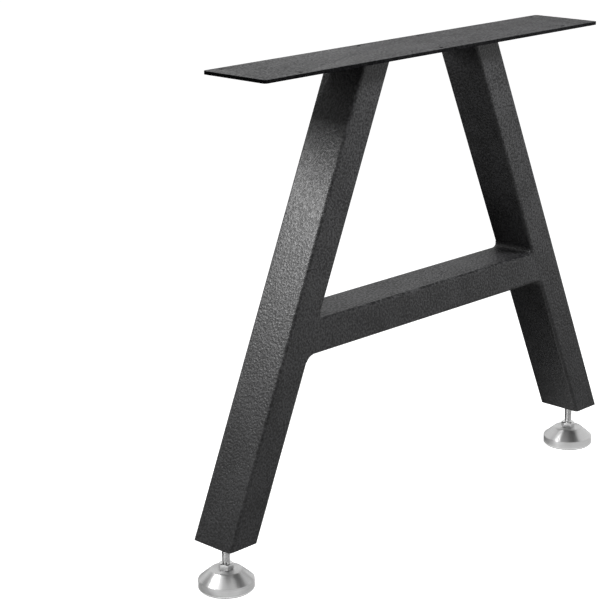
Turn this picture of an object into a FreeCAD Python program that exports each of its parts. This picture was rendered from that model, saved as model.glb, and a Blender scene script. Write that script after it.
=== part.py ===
import FreeCAD, Part
import math
import os

# Trestle table leg: a welded A-shaped frame of rectangular steel tube under a drilled
# mounting plate, standing on two screw-in levelling feet. Millimetres. The origin is on
# the floor midway between the feet, +X along the mounting plate, +Z up.

Vector = FreeCAD.Vector

# Overall sizes
overall_height = 720.0       # floor to the top of the mounting plate, feet as stored
foot_extension = 70.0        # floor to the cut bottom of the legs, feet as stored
foot_spacing = 790.0         # between the two stud axes
leg_spacing_top = 236.0      # between the leg centre lines at the underside of the plate

# Mounting plate
plate_length = 720.0
plate_width = 120.0
plate_thickness = 5.0
plate_corner_radius = 5.0
plate_edge_chamfer = 0.4     # broken edges under the coating
hole_diameter = 6.5          # clearance for the screws into the table top
hole_edge_distance = 10.0    # from a long edge of the plate to a row of holes
back_row_end_distance = 25.0     # from an end of the plate to the first hole of the row
front_row_end_distance = 75.0
back_row_inner_spacing = 130.0   # between the two middle holes of the back row

# Rectangular tube of the legs and the crossbar
tube_depth = 75.0            # side across the frame, along Y
tube_width = 50.0            # side in the plane of the frame
tube_wall = 2.5
tube_corner_radius = 5.0
crossbar_height = 272.0      # crossbar centre line above the cut bottom of the legs

# Weld beads
top_weld_leg = 6.0           # fillet between a leg and the plate
bar_weld_leg = 9.0           # fillet between a leg and the crossbar
weld_root = 0.3              # how far the top bead starts inside the leg's surface
weld_corner_flats = 3        # flats that carry the top bead round a corner of a leg

# Closing plate and weld nut inside each leg
end_plate_thickness = 5.0
end_plate_hole_clearance = 0.5
nut_across_flats = 19.0
nut_height = 10.0

# Levelling foot: base, stud with its own hexagon, retaining ring and rubber pad
stud_diameter = 12.0
stud_length = 55.0           # plain length above the hexagon
stud_end_chamfer = 1.0
stud_relief_depth = 0.9      # thread run-out groove above the hexagon
stud_relief_height = 1.6
thread_clearance = 0.05      # between the stud and the nut bore, on the radius
hexagon_across_flats = 19.0
hexagon_height = 9.5
hexagon_edge_chamfer = 0.5   # broken upper edges of the milled hexagon
base_diameter = 80.0
base_rim_height = 12.5       # upright wall of the base
base_height = 27.0           # rim and cone together
base_top_diameter = 46.5     # flat top that the hexagon turns on
base_edge_chamfer = 0.5      # round the top of the rim
pad_thickness = 1.5          # rubber glued under the base
pad_inset = 2.0              # from the rim of the base, on the radius
spigot_diameter = 10.0
spigot_clearance = 0.05      # running fit of the spigot, on the radius
spigot_end_gap = 5.0         # from the spigot end to the rubber
counterbore_diameter = 24.0
counterbore_height = 11.5    # above the rubber
groove_depth = 0.35          # in the spigot, for the ring
ring_thickness = 1.0
ring_width = 1.9
ring_opening = 3.0           # gap that lets the ring spread over the spigot
ring_clearance = 0.05        # round the ring in its groove
ring_axial_gap = 0.1         # under the roof of the counterbore

# Places that follow from the sizes
plate_underside = overall_height - plate_thickness
leg_bottom = foot_extension
leg_rise = plate_underside - leg_bottom
leg_run = (foot_spacing - leg_spacing_top) / 2
lean = math.degrees(math.atan2(leg_run, leg_rise))
slope = leg_run / leg_rise
crossbar_axis = leg_bottom + crossbar_height
level_half_width = tube_width / 2 / math.cos(math.radians(lean))
counterbore_roof = pad_thickness + counterbore_height
base_top = pad_thickness + base_height
hexagon_top = base_top + hexagon_height
stud_top = hexagon_top + stud_length
nut_seat = leg_bottom + end_plate_thickness


def rounded_rectangle(width, depth, radius):
    """Flat face in the XY plane, centred on the origin."""
    x, y = width / 2, depth / 2
    s = radius * math.sqrt(0.5)
    edges = []
    corners = [(1, 1), (-1, 1), (-1, -1), (1, -1)]
    for i, (sx, sy) in enumerate(corners):
        cx, cy = sx * (x - radius), sy * (y - radius)
        on_side = Vector(sx * x, cy, 0)
        on_end = Vector(cx, sy * y, 0)
        start, end = (on_side, on_end) if sx == sy else (on_end, on_side)
        edges.append(Part.Arc(start, Vector(cx + sx * s, cy + sy * s, 0), end).toShape())
        nx, ny = corners[(i + 1) % 4]
        ncx, ncy = nx * (x - radius), ny * (y - radius)
        next_start = Vector(nx * x, ncy, 0) if nx == ny else Vector(ncx, ny * y, 0)
        edges.append(Part.LineSegment(end, next_start).toShape())
    return Part.Face(Part.Wire(edges))


def level_slab(z_low, z_high):
    """Wide block between two levels, for square cuts across a leaning tube."""
    reach = foot_spacing
    return Part.makeBox(2 * reach, 2 * reach, z_high - z_low, Vector(-reach, -reach, z_low))


def leg_prism(side, growth):
    """Solid leaning bar along a leg, its section grown by this much all round."""
    face = rounded_rectangle(tube_width + 2 * growth, tube_depth + 2 * growth,
                             tube_corner_radius + growth)
    spare = tube_depth
    bar = face.extrude(Vector(0, 0, leg_rise + 2 * spare))
    bar.translate(Vector(0, 0, -spare))
    bar.rotate(Vector(0, 0, 0), Vector(0, 1, 0), -side * lean)
    bar.translate(Vector(side * foot_spacing / 2, 0, leg_bottom))
    return bar


def inner_face_x(z):
    """Distance from the middle of the frame to the inner face of a leg at this level."""
    return foot_spacing / 2 - slope * (z - leg_bottom) - level_half_width


def profile_solid(points):
    """Turned solid from its half section, given as radius and height."""
    wire = Part.makePolygon([Vector(r, 0, z) for r, z in points + points[:1]])
    return Part.Face(wire).revolve(Vector(0, 0, 0), Vector(0, 0, 1), 360)


def hexagon_prism(across_flats, z_low, z_high):
    """Upright hexagonal bar on the Z axis."""
    corner = across_flats / math.sqrt(3)
    ring = [Vector(corner * math.cos(math.radians(60 * i)),
                   corner * math.sin(math.radians(60 * i)), z_low) for i in range(7)]
    return Part.Face(Part.makePolygon(ring)).extrude(Vector(0, 0, z_high - z_low))


def screw_hole_places():
    """Centres of the screw holes: four along the back, three staggered along the front."""
    row = plate_width / 2 - hole_edge_distance
    outer = plate_length / 2 - back_row_end_distance
    inner = back_row_inner_spacing / 2
    front = plate_length / 2 - front_row_end_distance
    return [(x, row) for x in (-outer, -inner, inner, outer)] + [(x, -row) for x in (-front, 0, front)]


def make_top_plate():
    face = rounded_rectangle(plate_length, plate_width, plate_corner_radius)
    plate = face.extrude(Vector(0, 0, plate_thickness))
    rims = [e for e in plate.Edges if e.BoundBox.ZLength < 1e-6]
    plate = plate.makeChamfer(min(plate_edge_chamfer, plate_thickness * 0.4), rims)
    for x, y in screw_hole_places():
        hole = Part.makeCylinder(hole_diameter / 2, plate_thickness, Vector(x, y, 0))
        plate = plate.cut(hole)
    plate.translate(Vector(0, 0, plate_underside))
    return plate


def make_leg_tube(side):
    tube = leg_prism(side, 0).cut(leg_prism(side, -tube_wall))
    return tube.common(level_slab(leg_bottom, plate_underside))


def crossbar_prism(growth):
    """Solid bar along X at the crossbar, its ends flat against the legs."""
    face = rounded_rectangle(tube_width + 2 * growth, tube_depth + 2 * growth,
                             tube_corner_radius + growth)
    face.rotate(Vector(0, 0, 0), Vector(0, 1, 0), 90)
    face.translate(Vector(-foot_spacing / 2, 0, crossbar_axis))
    bar = face.extrude(Vector(foot_spacing, 0, 0))
    low, high = crossbar_axis - tube_width, crossbar_axis + tube_width
    outline = [(-inner_face_x(low), low), (inner_face_x(low), low),
               (inner_face_x(high), high), (-inner_face_x(high), high)]
    return bar.common(upright_sheet(outline, 2 * tube_depth))


def upright_sheet(outline, depth):
    """Outline in the XZ plane made a solid of this depth, centred on the frame."""
    points = [Vector(x, -depth / 2, z) for x, z in outline + outline[:1]]
    return Part.Face(Part.makePolygon(points)).extrude(Vector(0, depth, 0))


def make_crossbar_tube():
    return crossbar_prism(0).cut(crossbar_prism(-tube_wall))


def make_bar_weld(side):
    """One bead round the end of the crossbar, ground flush front and back."""
    top, bottom = crossbar_axis + tube_width / 2, crossbar_axis - tube_width / 2
    up = bar_weld_leg * math.cos(math.radians(lean))
    into_leg = tube_corner_radius / math.cos(math.radians(lean))
    high, low = top + up, bottom - up
    outline = [(inner_face_x(top) - bar_weld_leg, top),
               (inner_face_x(high), high),
               (inner_face_x(high) + into_leg, high),
               (inner_face_x(low) + into_leg, low),
               (inner_face_x(low), low),
               (inner_face_x(bottom) - bar_weld_leg, bottom)]
    bead = upright_sheet([(side * x, z) for x, z in outline], tube_depth)
    return bead.cut(leg_prism(side, 0)).cut(crossbar_prism(0))


def bead_outline(side, level, growth):
    """Corners of a level section of a leg, grown by this much, with flats for its round corners."""
    radius = tube_corner_radius + growth
    x, y = level_half_width + growth - radius, tube_depth / 2 + growth - radius
    middle = side * (inner_face_x(level) + level_half_width)
    points = []
    for corner, (sx, sy) in enumerate([(1, 1), (-1, 1), (-1, -1), (1, -1)]):
        for step in range(weld_corner_flats + 1):
            a = math.radians(90 * (corner + step / weld_corner_flats))
            points.append(Vector(middle + sx * x + radius * math.cos(a), sy * y + radius * math.sin(a), level))
    return points


def make_top_weld(side):
    """Fillet bead all round the top of a leg, under the plate."""
    low = bead_outline(side, plate_underside - top_weld_leg, -weld_root)
    high = bead_outline(side, plate_underside, top_weld_leg)
    faces = [Part.Face(Part.makePolygon(points + points[:1])) for points in (low, high)]
    for i in range(len(low)):
        faces.append(Part.Face(Part.makePolygon([low[i - 1], low[i], high[i], high[i - 1], low[i - 1]])))
    return Part.Solid(Part.Shell(faces)).cut(leg_prism(side, 0))


def make_end_plate(side):
    """Plate that closes the foot of a leg and carries the weld nut."""
    plate = leg_prism(side, -tube_wall).common(level_slab(leg_bottom, nut_seat))
    radius = stud_diameter / 2 + end_plate_hole_clearance
    return plate.cut(Part.makeCylinder(radius, 2 * end_plate_thickness,
                                       Vector(side * foot_spacing / 2, 0, leg_bottom - 1)))


def make_weld_nut(side):
    nut = hexagon_prism(nut_across_flats, nut_seat, nut_seat + nut_height)
    bore = Part.makeCylinder(stud_diameter / 2 + thread_clearance, nut_height, Vector(0, 0, nut_seat))
    nut = nut.cut(bore)
    nut.translate(Vector(side * foot_spacing / 2, 0, 0))
    return nut


def make_foot_base():
    rim, top = base_diameter / 2, base_top_diameter / 2
    bore, counterbore = spigot_diameter / 2 + spigot_clearance, counterbore_diameter / 2
    rim_top = pad_thickness + base_rim_height
    c = base_edge_chamfer
    return profile_solid([(counterbore, pad_thickness), (rim, pad_thickness), (rim, rim_top - c), (rim - c, rim_top),
                          (top, base_top), (bore, base_top), (bore, counterbore_roof),
                          (counterbore, counterbore_roof)])


def make_foot_stud():
    """Stud, hexagon and spigot, turned from one bar."""
    spigot = spigot_diameter / 2
    end = pad_thickness + spigot_end_gap
    ring_top = counterbore_roof - ring_axial_gap
    groove_top = ring_top + ring_clearance
    groove_low = ring_top - ring_thickness - ring_clearance
    groove = spigot - groove_depth
    relief = stud_diameter / 2 - stud_relief_depth
    shank = stud_diameter / 2
    c = stud_end_chamfer
    thread_start = hexagon_top + stud_relief_height
    turned = profile_solid([(0, end), (spigot, end), (spigot, groove_low), (groove, groove_low),
                            (groove, groove_top), (spigot, groove_top), (spigot, base_top), (relief, base_top),
                            (relief, thread_start), (shank, thread_start), (shank, stud_top - c),
                            (shank - c, stud_top), (0, stud_top)])
    hexagon = hexagon_prism(hexagon_across_flats, base_top, hexagon_top)
    upper_edges = [e for e in hexagon.Edges if e.BoundBox.ZMin > hexagon_top - 1e-6]
    hexagon = hexagon.makeChamfer(hexagon_edge_chamfer, upper_edges)
    return turned.fuse(hexagon).removeSplitter()


def make_retaining_ring():
    """Snap ring in the groove of the spigot, open on one side."""
    inner = spigot_diameter / 2 - groove_depth + ring_clearance
    outer = inner + ring_width
    low = counterbore_roof - ring_axial_gap - ring_thickness
    ring = Part.makeCylinder(outer, ring_thickness, Vector(0, 0, low))
    ring = ring.cut(Part.makeCylinder(inner, ring_thickness, Vector(0, 0, low)))
    opening = Part.makeBox(outer, ring_opening, ring_thickness, Vector(0, -ring_opening / 2, low))
    return ring.cut(opening)


def make_foot_pad():
    return Part.makeCylinder(base_diameter / 2 - pad_inset, pad_thickness)


def save(name, shape):
    """One closed solid to its own file."""
    solid = shape.Solids[0]
    if len(shape.Solids) != 1 or not solid.isValid():
        raise RuntimeError(name + " is not one sound solid")
    solid.exportStep("parts/" + name + ".step")
    print(name, round(solid.Volume / 1000, 2), "cm3")


def main():
    os.makedirs("parts", exist_ok=True)
    save("top_plate", make_top_plate())
    save("crossbar_tube", make_crossbar_tube())
    for name, side in (("left", -1), ("right", 1)):
        save(name + "_leg_tube", make_leg_tube(side))
        save(name + "_top_weld", make_top_weld(side))
        save(name + "_bar_weld", make_bar_weld(side))
        save(name + "_end_plate", make_end_plate(side))
        save(name + "_weld_nut", make_weld_nut(side))
        for piece, make in (("base", make_foot_base), ("stud", make_foot_stud),
                            ("ring", make_retaining_ring), ("pad", make_foot_pad)):
            shape = make()
            shape.translate(Vector(side * foot_spacing / 2, 0, 0))
            save(name + "_foot_" + piece, shape)


main()
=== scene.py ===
import bpy
import math
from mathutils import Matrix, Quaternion, Vector


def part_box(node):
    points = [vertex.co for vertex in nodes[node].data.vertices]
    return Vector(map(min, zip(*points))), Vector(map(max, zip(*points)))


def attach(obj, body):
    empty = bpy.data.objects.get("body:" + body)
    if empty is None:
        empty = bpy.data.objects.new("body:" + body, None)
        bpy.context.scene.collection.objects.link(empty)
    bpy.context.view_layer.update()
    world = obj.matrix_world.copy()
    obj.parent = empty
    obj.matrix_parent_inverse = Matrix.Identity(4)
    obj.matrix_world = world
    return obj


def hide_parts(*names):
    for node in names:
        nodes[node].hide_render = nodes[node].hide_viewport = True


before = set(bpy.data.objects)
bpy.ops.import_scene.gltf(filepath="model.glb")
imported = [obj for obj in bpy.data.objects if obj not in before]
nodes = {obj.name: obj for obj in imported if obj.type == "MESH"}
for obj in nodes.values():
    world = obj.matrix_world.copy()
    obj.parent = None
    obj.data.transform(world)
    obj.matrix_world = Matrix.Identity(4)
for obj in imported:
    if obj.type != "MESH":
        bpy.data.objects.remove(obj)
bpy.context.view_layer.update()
mm = 0.001

# The two sides, each with the places of its levelling foot read off the frame
feet = {}
for side, sign in (("left", -1), ("right", 1)):
    baseLow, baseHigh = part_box(side + "_foot_base")
    studLow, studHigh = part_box(side + "_foot_stud")
    feet[side] = {"sign": sign, "x": (baseLow.x + baseHigh.x) / 2, "radius": (baseHigh.x - baseLow.x) / 2,
                  "under": baseLow.z, "top": baseHigh.z, "studLow": studLow.z, "studHigh": studHigh.z}


def linearColor(code):
    # sRGB hex to the linear colour that a socket takes
    parts = [int(code[i:i + 2], 16) / 255 for i in (1, 3, 5)]
    return [c / 12.92 if c <= 0.04045 else ((c + 0.055) / 1.055) ** 2.4 for c in parts] + [1.0]


def addNode(tree, kind, settings, links):
    # settings are node attributes or socket values, links go from a socket here to an output elsewhere
    node = tree.nodes.new(kind)
    for key, value in settings.items():
        if isinstance(key, str) and hasattr(node, key):
            setattr(node, key, value)
        else:
            node.inputs[key].default_value = value
    for key, source in links.items():
        tree.links.new(source, node.inputs[key])
    return node


def objectPlace(tree):
    return addNode(tree, "ShaderNodeTexCoord", {}, {}).outputs["Object"]


def mapRange(tree, value, source, target=(0.0, 1.0)):
    settings = {"From Min": source[0], "From Max": source[1], "To Min": target[0], "To Max": target[1]}
    return addNode(tree, "ShaderNodeMapRange", settings, {"Value": value}).outputs[0]


def mixColor(tree, share, first, second):
    settings = {"data_type": "RGBA", 6: linearColor(first), 7: linearColor(second)}
    return addNode(tree, "ShaderNodeMix", settings, {0: share}).outputs[2]


def startMaterial(name):
    material = bpy.data.materials.new(name)
    material.use_nodes = True
    material.node_tree.nodes.clear()
    return material, material.node_tree


def finishMaterial(tree, shader):
    addNode(tree, "ShaderNodeOutputMaterial", {}, {"Surface": shader.outputs[0]})


print("frame loaded,", len(nodes), "nodes")


coat = {
    # the cut-edge colour and its low specular are painted shade: they darken the plate's edges and hole walls
    "dark": "#050506", "light": "#2b2b2c", "cutEdgeShade": "#101011",
    "grain": 3.4 * mm,       # the real grain is near 0.5 mm, drawn coarser so that it shows at this size
    "grainDetail": 1.5, "grainHeight": 1.05 * mm,
    "cloud": 45 * mm,        # slow change of shade from the spray gun
    "cloudDetail": 2.0, "cloudShare": 0.35,
    "shadeFrom": (0.57, 0.79), "glossFrom": (0.35, 0.65),      # the noise from dark to light and pit to crest
    "pitRoughness": 0.6, "crestRoughness": 0.48,
    "specular": 0.5, "cutEdgeShadeSpecular": 0.03,
    "rippleSpacing": 2.4 * mm, "rippleHeight": 0.15 * mm, "rippleStrength": 0.8, "rippleBend": 1.2,
}
waveSpacing = 0.314      # from crest to crest of a wave texture at scale 1


def powderCoat(name, light, specular, rippleAxis=None):
    # Black polyester powder coat, sprayed on steel and baked: it dries to a fine sandy skin that is
    # matt in its pits and shines softly on its crests. Over a weld the ripples show through. A darker,
    # duller copy of it is painted shade on the plate's cut edges and hole walls, which stand in shade.
    material, tree = startMaterial(name)
    place = objectPlace(tree)
    grain = addNode(tree, "ShaderNodeTexNoise",
                    {"Scale": 1 / coat["grain"], "Detail": coat["grainDetail"], "Roughness": 0.5},
                    {"Vector": place})
    cloud = addNode(tree, "ShaderNodeTexNoise",
                    {"Scale": 1 / coat["cloud"], "Detail": coat["cloudDetail"]}, {"Vector": place})
    mixed = addNode(tree, "ShaderNodeMath", {"operation": "MULTIPLY_ADD", 1: coat["cloudShare"]},
                    {0: cloud.outputs[0], 2: grain.outputs[0]})
    color = mixColor(tree, mapRange(tree, mixed.outputs[0], coat["shadeFrom"]), coat["dark"], light)
    gloss = mapRange(tree, grain.outputs[0], coat["glossFrom"],
                     (coat["pitRoughness"], coat["crestRoughness"]))
    bump = addNode(tree, "ShaderNodeBump", {"Strength": 1.0, "Distance": coat["grainHeight"]},
                   {"Height": grain.outputs[0]})
    if rippleAxis:
        ripple = addNode(tree, "ShaderNodeTexWave",
                         {"bands_direction": rippleAxis, "Scale": waveSpacing / coat["rippleSpacing"],
                          "Distortion": coat["rippleBend"], "Detail": 1.0}, {"Vector": place})
        bump = addNode(tree, "ShaderNodeBump",
                       {"Strength": coat["rippleStrength"], "Distance": coat["rippleHeight"]},
                       {"Height": ripple.outputs[1], "Normal": bump.outputs[0]})
    shader = addNode(tree, "ShaderNodeBsdfPrincipled", {"Specular IOR Level": specular},
                     {"Base Color": color, "Roughness": gloss, "Normal": bump.outputs[0]})
    finishMaterial(tree, shader)
    return material


turned = {
    "dull": "#b0b0b0", "bright": "#d4d4d4",
    "ring": 1.3 * mm,        # feed marks of the lathe tool, drawn coarser than the real 0.2 mm
    "ringDetail": 4.0, "ringRoughness": 0.7, "ringHeight": 0.006 * mm,
    "glossFrom": (0.3, 0.75), "smooth": 0.32, "rough": 0.44,
    "stretch": 0.75,         # how far the fine rings draw a highlight out across them
    "quarterTurn": 0.25,     # so that it is drawn out across them and not along
}


def turnedSteel(name, x):
    # Free-cutting steel, turned and then lapped on the lathe: fine rings round the axis blur what it
    # mirrors along the cone and up the rim, so that light and dark stand on it as streaks
    material, tree = startMaterial(name)
    centred = addNode(tree, "ShaderNodeMapping", {"Location": (-x, 0, 0)}, {"Vector": objectPlace(tree)})
    parts = addNode(tree, "ShaderNodeSeparateXYZ", {}, {0: centred.outputs[0]})
    flat = addNode(tree, "ShaderNodeVectorMath", {"operation": "MULTIPLY", 1: (1, 1, 0)},
                   {0: centred.outputs[0]})
    radius = addNode(tree, "ShaderNodeVectorMath", {"operation": "LENGTH"}, {0: flat.outputs[0]})
    along = addNode(tree, "ShaderNodeMath", {"operation": "SUBTRACT"},
                    {0: radius.outputs["Value"], 1: parts.outputs[2]})
    rings = addNode(tree, "ShaderNodeTexNoise",
                    {"noise_dimensions": "1D", "Scale": 1 / turned["ring"],
                     "Detail": turned["ringDetail"], "Roughness": turned["ringRoughness"]},
                    {"W": along.outputs[0]})
    gloss = mapRange(tree, rings.outputs[0], turned["glossFrom"], (turned["smooth"], turned["rough"]))
    color = mixColor(tree, rings.outputs[0], turned["bright"], turned["dull"])
    bump = addNode(tree, "ShaderNodeBump", {"Strength": 1.0, "Distance": turned["ringHeight"]},
                   {"Height": rings.outputs[0]})
    around = addNode(tree, "ShaderNodeVectorMath", {"operation": "CROSS_PRODUCT", 1: (0, 0, 1)},
                     {0: centred.outputs[0]})
    shader = addNode(tree, "ShaderNodeBsdfPrincipled",
                     {"Metallic": 1.0, "Anisotropic": turned["stretch"],
                      "Anisotropic Rotation": turned["quarterTurn"]},
                     {"Base Color": color, "Roughness": gloss,
                      "Normal": bump.outputs[0], "Tangent": around.outputs[0]})
    finishMaterial(tree, shader)
    return material


uneven = {"detail": 3.0, "from": (0.3, 0.7), "smoother": 0.75, "rougher": 1.3}


def plainMetal(name, color, roughness, fleck):
    # Bright or phosphated small part: one metal with a faint uneven gloss
    material, tree = startMaterial(name)
    noise = addNode(tree, "ShaderNodeTexNoise", {"Scale": 1 / fleck, "Detail": uneven["detail"]},
                    {"Vector": objectPlace(tree)})
    gloss = mapRange(tree, noise.outputs[0], uneven["from"],
                     (roughness * uneven["smoother"], roughness * uneven["rougher"]))
    shader = addNode(tree, "ShaderNodeBsdfPrincipled",
                     {"Base Color": linearColor(color), "Metallic": 1.0}, {"Roughness": gloss})
    finishMaterial(tree, shader)
    return material


pad = {"color": "#151515", "roughness": 0.7, "grain": 0.8 * mm, "grainDetail": 2.0, "grainHeight": 0.05 * mm}


def padRubber():
    # Moulded nitrile rubber: deep black, nearly matt, with a faint mould grain
    material, tree = startMaterial("padRubber")
    grain = addNode(tree, "ShaderNodeTexNoise", {"Scale": 1 / pad["grain"], "Detail": pad["grainDetail"]},
                    {"Vector": objectPlace(tree)})
    bump = addNode(tree, "ShaderNodeBump", {"Distance": pad["grainHeight"]}, {"Height": grain.outputs[0]})
    shader = addNode(tree, "ShaderNodeBsdfPrincipled",
                     {"Base Color": linearColor(pad["color"]), "Roughness": pad["roughness"]},
                     {"Normal": bump.outputs[0]})
    finishMaterial(tree, shader)
    return material


coated = powderCoat("powderCoat", coat["light"], coat["specular"])
# a darker, duller copy of the coat: painted shade for the plate's edges and hole walls
coatedCutEdgeShade = powderCoat("powderCoatCutEdgeShade", coat["cutEdgeShade"], coat["cutEdgeShadeSpecular"])
coatedTopWeld = powderCoat("powderCoatOverTopWeld", coat["light"], coat["specular"], "DIAGONAL")
coatedBarWeld = powderCoat("powderCoatOverBarWeld", coat["light"], coat["specular"], "Y")
studSteel = plainMetal("studSteel", "#d2d2d2", 0.2, 2 * mm)       # cold-headed steel, bright nickel
springSteel = plainMetal("springSteel", "#4b4846", 0.4, 1 * mm)   # hardened and phosphated
zincPlate = plainMetal("zincPlate", "#b9bab8", 0.35, 3 * mm)      # weld nut, blue zinc
rubber = padRubber()

finishes = {"top_weld": coatedTopWeld, "bar_weld": coatedBarWeld, "weld_nut": zincPlate,
            "foot_ring": springSteel, "foot_pad": rubber}
for name, node in nodes.items():
    finish = next((finishes[ending] for ending in finishes if name.endswith(ending)), coated)
    node.data.materials.clear()
    node.data.materials.append(finish)
print("materials made")


def deselectAll():
    if bpy.context.object and bpy.context.object.mode == "EDIT":
        bpy.ops.object.mode_set(mode="OBJECT")
    bpy.ops.object.select_all(action="DESELECT")


def editWhole():
    bpy.ops.object.mode_set(mode="EDIT")
    bpy.ops.mesh.select_all(action="SELECT")


def closeUp(merge=0):
    # join what lies within the merge distance, turn every face outwards and leave edit mode
    bpy.ops.mesh.select_all(action="SELECT")
    if merge:
        bpy.ops.mesh.remove_doubles(threshold=merge)
    bpy.ops.mesh.normals_make_consistent(inside=False)
    bpy.ops.mesh.select_all(action="DESELECT")
    bpy.ops.object.mode_set(mode="OBJECT")


def startPoint(place):
    # a new mesh of one vertex, left in edit mode
    deselectAll()
    bpy.ops.mesh.primitive_plane_add(size=mm, location=place)
    editWhole()
    bpy.ops.mesh.merge(type="CENTER")
    return bpy.context.object


def startSheet(size, place):
    # a new plane with the given sides, left in edit mode
    deselectAll()
    bpy.ops.mesh.primitive_plane_add(size=1, location=place)
    sheet = bpy.context.object
    sheet.scale = (*size, 1)
    bpy.ops.object.transform_apply(location=False, rotation=False, scale=True)
    editWhole()
    return sheet


def drawLine(moves):
    for move in moves:
        bpy.ops.mesh.extrude_vertices_move(TRANSFORM_OT_translate={"value": move})


def growRings(x, rings):
    # from the selected ring, extrude a wall to each next radius and height
    for (radius, height), (nextRadius, nextHeight) in zip(rings, rings[1:]):
        bpy.ops.mesh.extrude_region_move(TRANSFORM_OT_translate={"value": (0, 0, nextHeight - height)})
        if nextRadius != radius:
            scale = nextRadius / radius
            bpy.ops.transform.resize(value=(scale, scale, 1), center_override=(x, 0, nextHeight))


def turnedRing(x, rings, steps, merge):
    # a turned body with a hole through it: the last ring closes on the first
    deselectAll()
    bpy.ops.mesh.primitive_circle_add(vertices=steps, radius=rings[0][0], location=(x, 0, rings[0][1]))
    editWhole()
    growRings(x, rings + rings[:1])
    closeUp(merge)
    return bpy.context.object


def turnedBar(x, rings, steps):
    # a solid turned body with a flat at each end
    deselectAll()
    bpy.ops.mesh.primitive_circle_add(vertices=steps, radius=rings[0][0], location=(x, 0, rings[0][1]),
                                      fill_type="NGON")
    editWhole()
    growRings(x, rings)
    closeUp()
    return bpy.context.object


def cutWith(piece, tool, operation):
    # the tool goes once it has cut
    cut = piece.modifiers.new("cut", "BOOLEAN")
    cut.operation = operation
    cut.solver = "EXACT"
    cut.object = tool
    bpy.context.view_layer.objects.active = piece
    bpy.ops.object.modifier_apply(modifier=cut.name)
    deselectAll()
    tool.select_set(True)
    bpy.ops.object.delete()


def softenEdges(piece, edge):
    bevel = piece.modifiers.new("softEdges", "BEVEL")
    bevel.width = edge["width"]
    bevel.segments = edge["segments"]
    bevel.limit_method = "ANGLE"
    bevel.angle_limit = math.radians(edge["overAngle"])
    bpy.context.view_layer.objects.active = piece
    bpy.ops.object.modifier_apply(modifier=bevel.name)


smoothAngle = 28     # degrees, a sharper turn stays an edge


def settle(piece, name, material, body, cadNode):
    # origin to zero, smooth shading, finish, and the CAD node that the piece stands for
    deselectAll()
    piece.select_set(True)
    bpy.context.view_layer.objects.active = piece
    bpy.ops.object.transform_apply(location=True, rotation=True, scale=True)
    bpy.ops.object.shade_smooth_by_angle(angle=math.radians(smoothAngle))
    piece.name = name
    piece.data.materials.clear()
    piece.data.materials.append(material)
    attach(piece, body)
    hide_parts(cadNode)


base = {
    "steps": 160, "merge": 0.002 * mm,
    "rimHeight": 12.5 * mm, "topRadius": 23.25 * mm, "bore": 5.05 * mm,
    "counterbore": 12 * mm, "counterboreHeight": 11.5 * mm,
    "edge": {"width": 0.5 * mm, "segments": 3, "overAngle": 25},
}


def makeFootBase(side):
    # a rim, a cone and a flat top outside, a bore and a counterbore for the stud's spigot and ring
    foot = feet[side]
    under, top, radius = foot["under"], foot["top"], foot["radius"]
    roof = under + base["counterboreHeight"]
    rings = [(base["counterbore"], under), (radius, under), (radius, under + base["rimHeight"]),
             (base["topRadius"], top), (base["bore"], top), (base["bore"], roof), (base["counterbore"], roof)]
    piece = turnedRing(foot["x"], rings, base["steps"], base["merge"])
    softenEdges(piece, base["edge"])
    settle(piece, side + "_turned_base", turnedSteel(side + "TurnedSteel", foot["x"]),
           side + "_foot", side + "_foot_base")


stud = {
    "threadSteps": 48, "shaftSteps": 64, "barrelSteps": 96,
    "radius": 6 * mm, "pitch": 1.75 * mm, "depth": 1.07 * mm, "crest": 0.22 * mm, "root": 0.44 * mm,
    "turnsBelow": 2, "turnsAbove": 1, "joinTurns": 0.005 * mm, "merge": 0.003 * mm,
    "reliefRadius": 5.1 * mm, "reliefHeight": 1.6 * mm,
    "acrossFlats": 19 * mm, "hexagonHeight": 9.5 * mm, "hexagonTurn": 30, "endRadius": 9 * mm, "endAngle": 30,
    "edge": {"width": 0.25 * mm, "segments": 2, "overAngle": 40},
    "seatGap": 0.02 * mm,    # the hexagon turns on the base without rubbing into its facets
    "spigotRadius": 5 * mm, "grooveRadius": 4.65 * mm, "grooveLow": 11.85 * mm, "grooveHigh": 12.95 * mm,
}


def makeThread(x, low, high):
    # one turn of the thread's outline, screwed upwards, then cut square at both ends
    pitch, depth = stud["pitch"], stud["depth"]
    flank = (pitch - stud["crest"] - stud["root"]) / 2
    thread = startPoint((x, 0, low - stud["turnsBelow"] * pitch))
    bpy.ops.transform.translate(value=(stud["radius"], 0, 0))
    drawLine([(0, 0, stud["crest"]), (-depth, 0, flank), (0, 0, stud["root"]), (depth, 0, flank)])
    bpy.ops.object.mode_set(mode="OBJECT")
    screw = thread.modifiers.new("helix", "SCREW")
    screw.screw_offset = pitch
    screw.iterations = math.ceil((high - low) / pitch) + stud["turnsBelow"] + stud["turnsAbove"]
    screw.steps = screw.render_steps = stud["threadSteps"]
    screw.use_merge_vertices = True
    screw.merge_threshold = stud["joinTurns"]
    bpy.ops.object.modifier_apply(modifier=screw.name)
    bpy.ops.object.mode_set(mode="EDIT")
    for height, lower in ((low, True), (high, False)):
        bpy.ops.mesh.select_all(action="SELECT")
        bpy.ops.mesh.bisect(plane_co=(x, 0, height), plane_no=(0, 0, 1), use_fill=True,
                            clear_inner=lower, clear_outer=not lower)
    closeUp(stud["merge"])
    return thread


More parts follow.
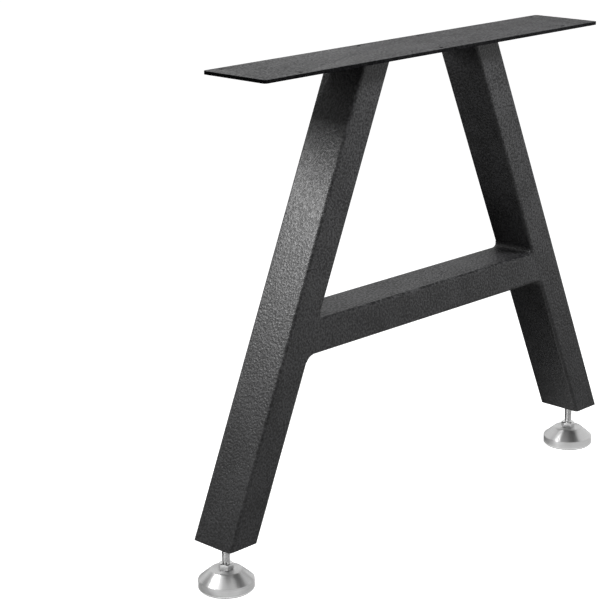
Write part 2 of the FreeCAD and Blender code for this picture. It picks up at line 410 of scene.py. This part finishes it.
def makeHexagon(x, low, high):
    # milled from bar whose ends were turned down first, so that each corner ends in an arc
    corner, end = stud["acrossFlats"] / math.sqrt(3), stud["endRadius"]
    drop = (corner - end) * math.tan(math.radians(stud["endAngle"]))
    deselectAll()
    bpy.ops.mesh.primitive_cylinder_add(vertices=6, radius=corner, depth=high - low,
                                        location=(x, 0, (low + high) / 2),
                                        rotation=(0, 0, math.radians(stud["hexagonTurn"])))
    hexagon = bpy.context.object
    softenEdges(hexagon, stud["edge"])
    barrel = turnedBar(x, [(end, low), (corner, low + drop), (corner, high - drop), (end, high)],
                       stud["barrelSteps"])
    cutWith(hexagon, barrel, "INTERSECT")
    return hexagon


def makeFootStud(side):
    # spigot with its groove, relief, thread and hexagon, cold-headed as one
    foot = feet[side]
    x, seat = foot["x"], foot["top"] + stud["seatGap"]
    hexTop = foot["top"] + stud["hexagonHeight"]
    threadLow = hexTop + stud["reliefHeight"]
    spigot, groove, relief = stud["spigotRadius"], stud["grooveRadius"], stud["reliefRadius"]
    rings = [(spigot, foot["studLow"]), (spigot, stud["grooveLow"]), (groove, stud["grooveLow"]),
             (groove, stud["grooveHigh"]), (spigot, stud["grooveHigh"]), (spigot, seat),
             (relief, seat), (relief, threadLow + stud["pitch"] / 2)]
    shaft = turnedBar(x, rings, stud["shaftSteps"])
    thread = makeThread(x, threadLow, foot["studHigh"])
    hexagon = makeHexagon(x, seat, hexTop)
    deselectAll()
    for part in (thread, hexagon, shaft):
        part.select_set(True)
    bpy.context.view_layer.objects.active = shaft
    bpy.ops.object.join()
    settle(shaft, side + "_threaded_stud", studSteel, side + "_stud", side + "_foot_stud")


for side in feet:
    makeFootBase(side)
    makeFootStud(side)
print("feet made")


# The leaning legs, for the beads that follow them
leg = {
    "bottom": 70 * mm, "top": 715 * mm, "footSpacing": 790 * mm, "topSpacing": 236 * mm,
    "width": 50 * mm, "depth": 75 * mm,
}
legSlope = (leg["footSpacing"] - leg["topSpacing"]) / 2 / (leg["top"] - leg["bottom"])
levelHalfWidth = leg["width"] / 2 * math.hypot(1, legSlope)


def legAxis(height):
    return leg["footSpacing"] / 2 - legSlope * (height - leg["bottom"])


def legInside(height, outwards=0):
    # on the inner face of the right leg, or as far outwards from it
    return Vector((legAxis(height) - levelHalfWidth + outwards, 0, height))


def hollowLine(start, corner, end, hollow, steps):
    # across a bead from toe to toe, drawn in towards the corner that it fills
    places = []
    for step in range(steps + 1):
        t = step / steps
        arc = start.lerp(corner, t).lerp(corner.lerp(end, t), t)
        places.append(start.lerp(end, t).lerp(arc, hollow))
    return places


barBead = {
    "low": 317 * mm, "high": 367 * mm, "leg": 9 * mm, "hollow": 0.8, "steps": 8,
    "intoLeg": 10 * mm,
    "sunk": 0.05 * mm,       # keeps the ground faces just under those of the tubes
    "rim": 3.5 * mm, "rimSteps": 4,
    "merge": 0.01 * mm,
}


def makeBarBead(side):
    # bead round the end of the crossbar: hollow above and below, ground level with the tubes front and back
    sign = feet[side]["sign"]
    low, high, size, into = barBead["low"], barBead["high"], barBead["leg"], barBead["intoLeg"]
    hollow, steps, near = barBead["hollow"], barBead["steps"], barBead["merge"]
    rise = size / math.hypot(1, legSlope)
    outline = hollowLine(legInside(high, -size), legInside(high), legInside(high + rise), hollow, steps)
    outline += [legInside(high + rise, into), legInside(low - rise, into)]
    outline += hollowLine(legInside(low - rise), legInside(low), legInside(low, -size), hollow, steps)
    depth = leg["depth"] - 2 * barBead["sunk"]
    places = [Vector((sign * place.x, -depth / 2, place.z)) for place in outline + outline[:1]]
    bead = startPoint(places[0])
    drawLine([end - start for start, end in zip(places, places[1:])])
    bpy.ops.mesh.select_all(action="SELECT")
    bpy.ops.mesh.remove_doubles(threshold=near)
    bpy.ops.mesh.edge_face_add()
    bpy.ops.mesh.extrude_region_move(TRANSFORM_OT_translate={"value": (0, depth, 0)})
    closeUp()
    bpy.ops.object.transform_apply(location=True, rotation=False, scale=False)
    for edge in bead.data.edges:
        ends = [bead.data.vertices[v].co for v in edge.vertices]
        level = abs(ends[0].y - ends[1].y) < near
        above = min(end.z for end in ends) > high - near
        below = max(end.z for end in ends) < low + near
        edge.select = level and (above or below)
    bpy.ops.object.mode_set(mode="EDIT")
    bpy.ops.mesh.select_mode(type="EDGE")
    bpy.ops.mesh.bevel(offset=barBead["rim"], segments=barBead["rimSteps"])
    bpy.ops.mesh.select_mode(type="VERT")
    bpy.ops.object.mode_set(mode="OBJECT")
    settle(bead, side + "_bar_bead", coatedBarWeld, "frame", side + "_bar_weld")


topBead = {
    "leg": 6 * mm, "root": 0.3 * mm, "hollow": 0.5, "steps": 6, "corner": 9 * mm, "cornerSteps": 6,
}


def makeTopBead(side):
    # bead all round the top of a leg, hollow from the plate down to the tube
    sign, top, size = feet[side]["sign"], leg["top"], topBead["leg"]
    line = hollowLine(Vector((size, 0)), Vector((0, 0)), Vector((-topBead["root"], -size)),
                      topBead["hollow"], topBead["steps"])
    sizes = [(levelHalfWidth + growth, leg["depth"] / 2 + growth, drop) for growth, drop in line]
    bead = startSheet((2 * sizes[0][0], 2 * sizes[0][1]), (sign * legAxis(top), 0, top))
    bpy.ops.mesh.bevel(offset=topBead["corner"], segments=topBead["cornerSteps"], affect="VERTICES")
    for (alongX, alongY, drop), (nextX, nextY, nextDrop) in zip(sizes, sizes[1:]):
        middle = (sign * legAxis(top + nextDrop), 0, top + nextDrop)
        shift = middle[0] - sign * legAxis(top + drop)
        bpy.ops.mesh.extrude_region_move(TRANSFORM_OT_translate={"value": (shift, 0, nextDrop - drop)})
        bpy.ops.transform.resize(value=(nextX / alongX, nextY / alongY, 1), center_override=middle)
    closeUp()
    settle(bead, side + "_top_bead", coatedTopWeld, "frame", side + "_top_weld")


for side in feet:
    makeBarBead(side)
    makeTopBead(side)
print("weld beads made")


plate = {
    "length": 720 * mm, "width": 120 * mm, "thickness": 5 * mm, "corner": 5 * mm, "cornerSteps": 8,
    "hole": 6.5 * mm, "holeSteps": 32,
    "holes": [(-335, 50), (-65, 50), (65, 50), (335, 50), (-285, -50), (0, -50), (285, -50)],     # mm
    "edge": {"width": 0.4 * mm, "segments": 3, "overAngle": 60},
    "cutEdgeShadeUpTo": 0.3,      # a face whose normal rises less than this is a cut edge, and gets the painted shade
}


def makePlate():
    # flat bar cut by laser, its corners rounded and its edges broken before it was coated
    thickness = plate["thickness"]
    sheet = startSheet((plate["length"], plate["width"]), (0, 0, leg["top"]))
    bpy.ops.mesh.bevel(offset=plate["corner"], segments=plate["cornerSteps"], affect="VERTICES")
    bpy.ops.mesh.extrude_region_move(TRANSFORM_OT_translate={"value": (0, 0, thickness)})
    closeUp()
    for x, y in plate["holes"]:
        deselectAll()
        bpy.ops.mesh.primitive_cylinder_add(vertices=plate["holeSteps"], radius=plate["hole"] / 2,
                                            depth=3 * thickness, location=(x * mm, y * mm, leg["top"]))
        cutWith(sheet, bpy.context.object, "DIFFERENCE")
    softenEdges(sheet, plate["edge"])
    settle(sheet, "mounting_plate", coated, "frame", "top_plate")
    # the cut edges and hole walls take the darker, duller coat as painted shade
    sheet.data.materials.append(coatedCutEdgeShade)
    for face in sheet.data.polygons:
        if abs(face.normal.z) < plate["cutEdgeShadeUpTo"]:
            face.material_index = 1


makePlate()
print("mounting plate made")


studio = {
    "floorSize": 14.0, "floorGlow": 0.93, "floorColor": "#b4b4b4", "floorBounce": "#343434",
    "sky": "#fcfcfc", "skyFill": 0.25,
}


def seenStraight(tree):
    # 1 for the camera and for what is mirrored or shines through, 0 for the light on the object
    path = addNode(tree, "ShaderNodeLightPath", {}, {})
    seen = path.outputs["Is Camera Ray"]
    for kind in ("Is Glossy Ray", "Is Transmission Ray"):
        either = addNode(tree, "ShaderNodeMath", {"operation": "MAXIMUM"}, {0: seen, 1: path.outputs[kind]})
        seen = either.outputs[0]
    return seen


def makeFloor():
    # white for the eye and for metal, with the shadow kept; a greyer bounce for everything else
    deselectAll()
    bpy.ops.mesh.primitive_plane_add(size=studio["floorSize"], location=(0, 0, 0))
    floor = bpy.context.object
    floor.name = "floor"
    material, tree = startMaterial("studioFloor")
    seen = seenStraight(tree)
    white = addNode(tree, "ShaderNodeBsdfDiffuse", {"Color": linearColor(studio["floorColor"])}, {})
    glow = addNode(tree, "ShaderNodeEmission", {"Strength": studio["floorGlow"]}, {})
    lit = addNode(tree, "ShaderNodeAddShader", {}, {0: white.outputs[0], 1: glow.outputs[0]})
    bounce = addNode(tree, "ShaderNodeBsdfDiffuse", {"Color": linearColor(studio["floorBounce"])}, {})
    shader = addNode(tree, "ShaderNodeMixShader", {}, {0: seen, 1: bounce.outputs[0], 2: lit.outputs[0]})
    finishMaterial(tree, shader)
    floor.data.materials.append(material)


# Cloth that the camera doesn't see. It shows only in what the object mirrors, and a cutter also keeps
# the lamps off what it stands before.
cloths = {"black": "#0a0a0a", "mid": "#929292", "grey": "#c4c4c4"}
flags = {
    "floorFlag": {"cloth": "black", "place": (0.1, 1.45, 0.002), "tilt": (0, 0, 0), "size": (2.6, 2.8)},
    "frontFlag": {"cloth": "black", "place": (-1.4, -1.4, 1.0), "tilt": (90, 0, -45), "size": (1.4, 1.0)},
    "sideFlag": {"cloth": "black", "place": (-1.5, 1.4, 0.95), "tilt": (90, 0, 45), "size": (1.8, 1.3)},
    "backFlag": {"cloth": "black", "place": (1.35, 0.85, 1.14), "tilt": (90, 0, -45), "size": (0.8, 0.42)},
    "highFlag": {"cloth": "black", "place": (0.325, -0.71, 1.15), "tilt": (0, 0, 0), "size": (0.95, 1.3)},
    "nearFlag": {"cloth": "black", "place": (-1.0, -0.95, 0.002), "tilt": (0, 0, 45), "size": (1.4, 1.8)},
    "topCutter": {"cloth": "black", "place": (-0.448, 0.11, 0.735), "tilt": (90, 0, 56),
                  "size": (0.225, 0.11), "cuts": True},
    "barCutter": {"cloth": "black", "place": (-0.23, 0.167, 0.545), "tilt": (90, 0, 0),
                  "size": (0.36, 0.13), "cuts": True},
    "frontMat": {"cloth": "mid", "place": (0.25, -0.55, 0.002), "tilt": (0, 0, 0), "size": (1.8, 1.0)},
    # Painted shadow: these grey sheets round the feet stand for the feet's contact shadow on the floor, which
    # the metal mirrors
    "leftMat": {"cloth": "grey", "place": (-0.395, 0, 0.003), "tilt": (0, 0, 0), "size": (0.19, 0.19)},
    "rightMat": {"cloth": "grey", "place": (0.395, 0, 0.003), "tilt": (0, 0, 0), "size": (0.19, 0.19)},
}


def plainCloth(name, color):
    material, tree = startMaterial(name)
    finishMaterial(tree, addNode(tree, "ShaderNodeBsdfDiffuse", {"Color": linearColor(color)}, {}))
    return material


def makeFlag(name, flag, material):
    deselectAll()
    bpy.ops.mesh.primitive_plane_add(size=1, location=flag["place"],
                                     rotation=[math.radians(angle) for angle in flag["tilt"]])
    cloth = bpy.context.object
    cloth.name = name
    cloth.scale = (*flag["size"], 1)
    cloth.visible_camera = False
    cloth.visible_diffuse = False
    cloth.visible_shadow = flag.get("cuts", False)
    cloth.data.materials.append(material)


def makeWorld():
    world = bpy.data.worlds.new("studioWhite")
    bpy.context.scene.world = world
    world.use_nodes = True
    tree = world.node_tree
    tree.nodes.clear()
    strength = mapRange(tree, seenStraight(tree), (0.0, 1.0), (studio["skyFill"], 1.0))
    light = addNode(tree, "ShaderNodeBackground", {"Color": linearColor(studio["sky"])},
                    {"Strength": strength})
    addNode(tree, "ShaderNodeOutputWorld", {}, {"Surface": light.outputs[0]})


def placeAndAim(item, setup):
    bpy.context.scene.collection.objects.link(item)
    item.location = setup["place"]
    aim = Vector(setup["aim"]) - Vector(setup["place"])
    roll = Quaternion((0, 0, 1), math.radians(setup["roll"]))
    item.rotation_mode = "QUATERNION"
    item.rotation_quaternion = aim.to_track_quat("-Z", "Y") @ roll


# The small softbox lights the left side and the tops, the large faint one shows as a streak on the feet
lamps = {
    "sideSoftbox": {"place": (-0.734, 0.372, 0.828), "aim": (-0.22, 0.0, 0.8), "roll": 0,
                    "size": (0.18, 0.18), "power": 10, "mirrored": True},
    "streakSoftbox": {"place": (-1.89, 0.35, 2.56), "aim": (-0.2, 0.0, 0.0), "roll": 0,
                      "size": (1.0, 1.0), "power": 5.0, "mirrored": True},
    "frontFill": {"place": (0.25, -0.6, 1.5), "aim": (0.0, 0.0, 0.5), "roll": 0,
                  "size": (0.4, 0.3), "power": 36, "mirrored": False},
}


def makeLamp(name, lamp):
    data = bpy.data.lights.new(name, "AREA")
    data.shape = "RECTANGLE"
    data.size, data.size_y = lamp["size"]
    data.energy = lamp["power"]
    light = bpy.data.objects.new(name, data)
    placeAndAim(light, lamp)
    light.visible_camera = False
    light.visible_glossy = lamp["mirrored"]


cameraSetup = {
    "lens": 112.6, "place": (-2.0345, -1.7867, 1.1227), "aim": (-0.1245, 0.1165, 0.3395), "roll": -0.75,
}


def makeCamera():
    data = bpy.data.cameras.new("camera")
    data.lens = cameraSetup["lens"]
    camera = bpy.data.objects.new("camera", data)
    placeAndAim(camera, cameraSetup)
    bpy.context.scene.camera = camera


makeFloor()
clothMaterials = {kind: plainCloth(kind + "Cloth", color) for kind, color in cloths.items()}
for name, flag in flags.items():
    makeFlag(name, flag, clothMaterials[flag["cloth"]])
makeWorld()
for name, lamp in lamps.items():
    makeLamp(name, lamp)
makeCamera()
bpy.context.scene.view_settings.view_transform = "Standard"
print("studio set up")
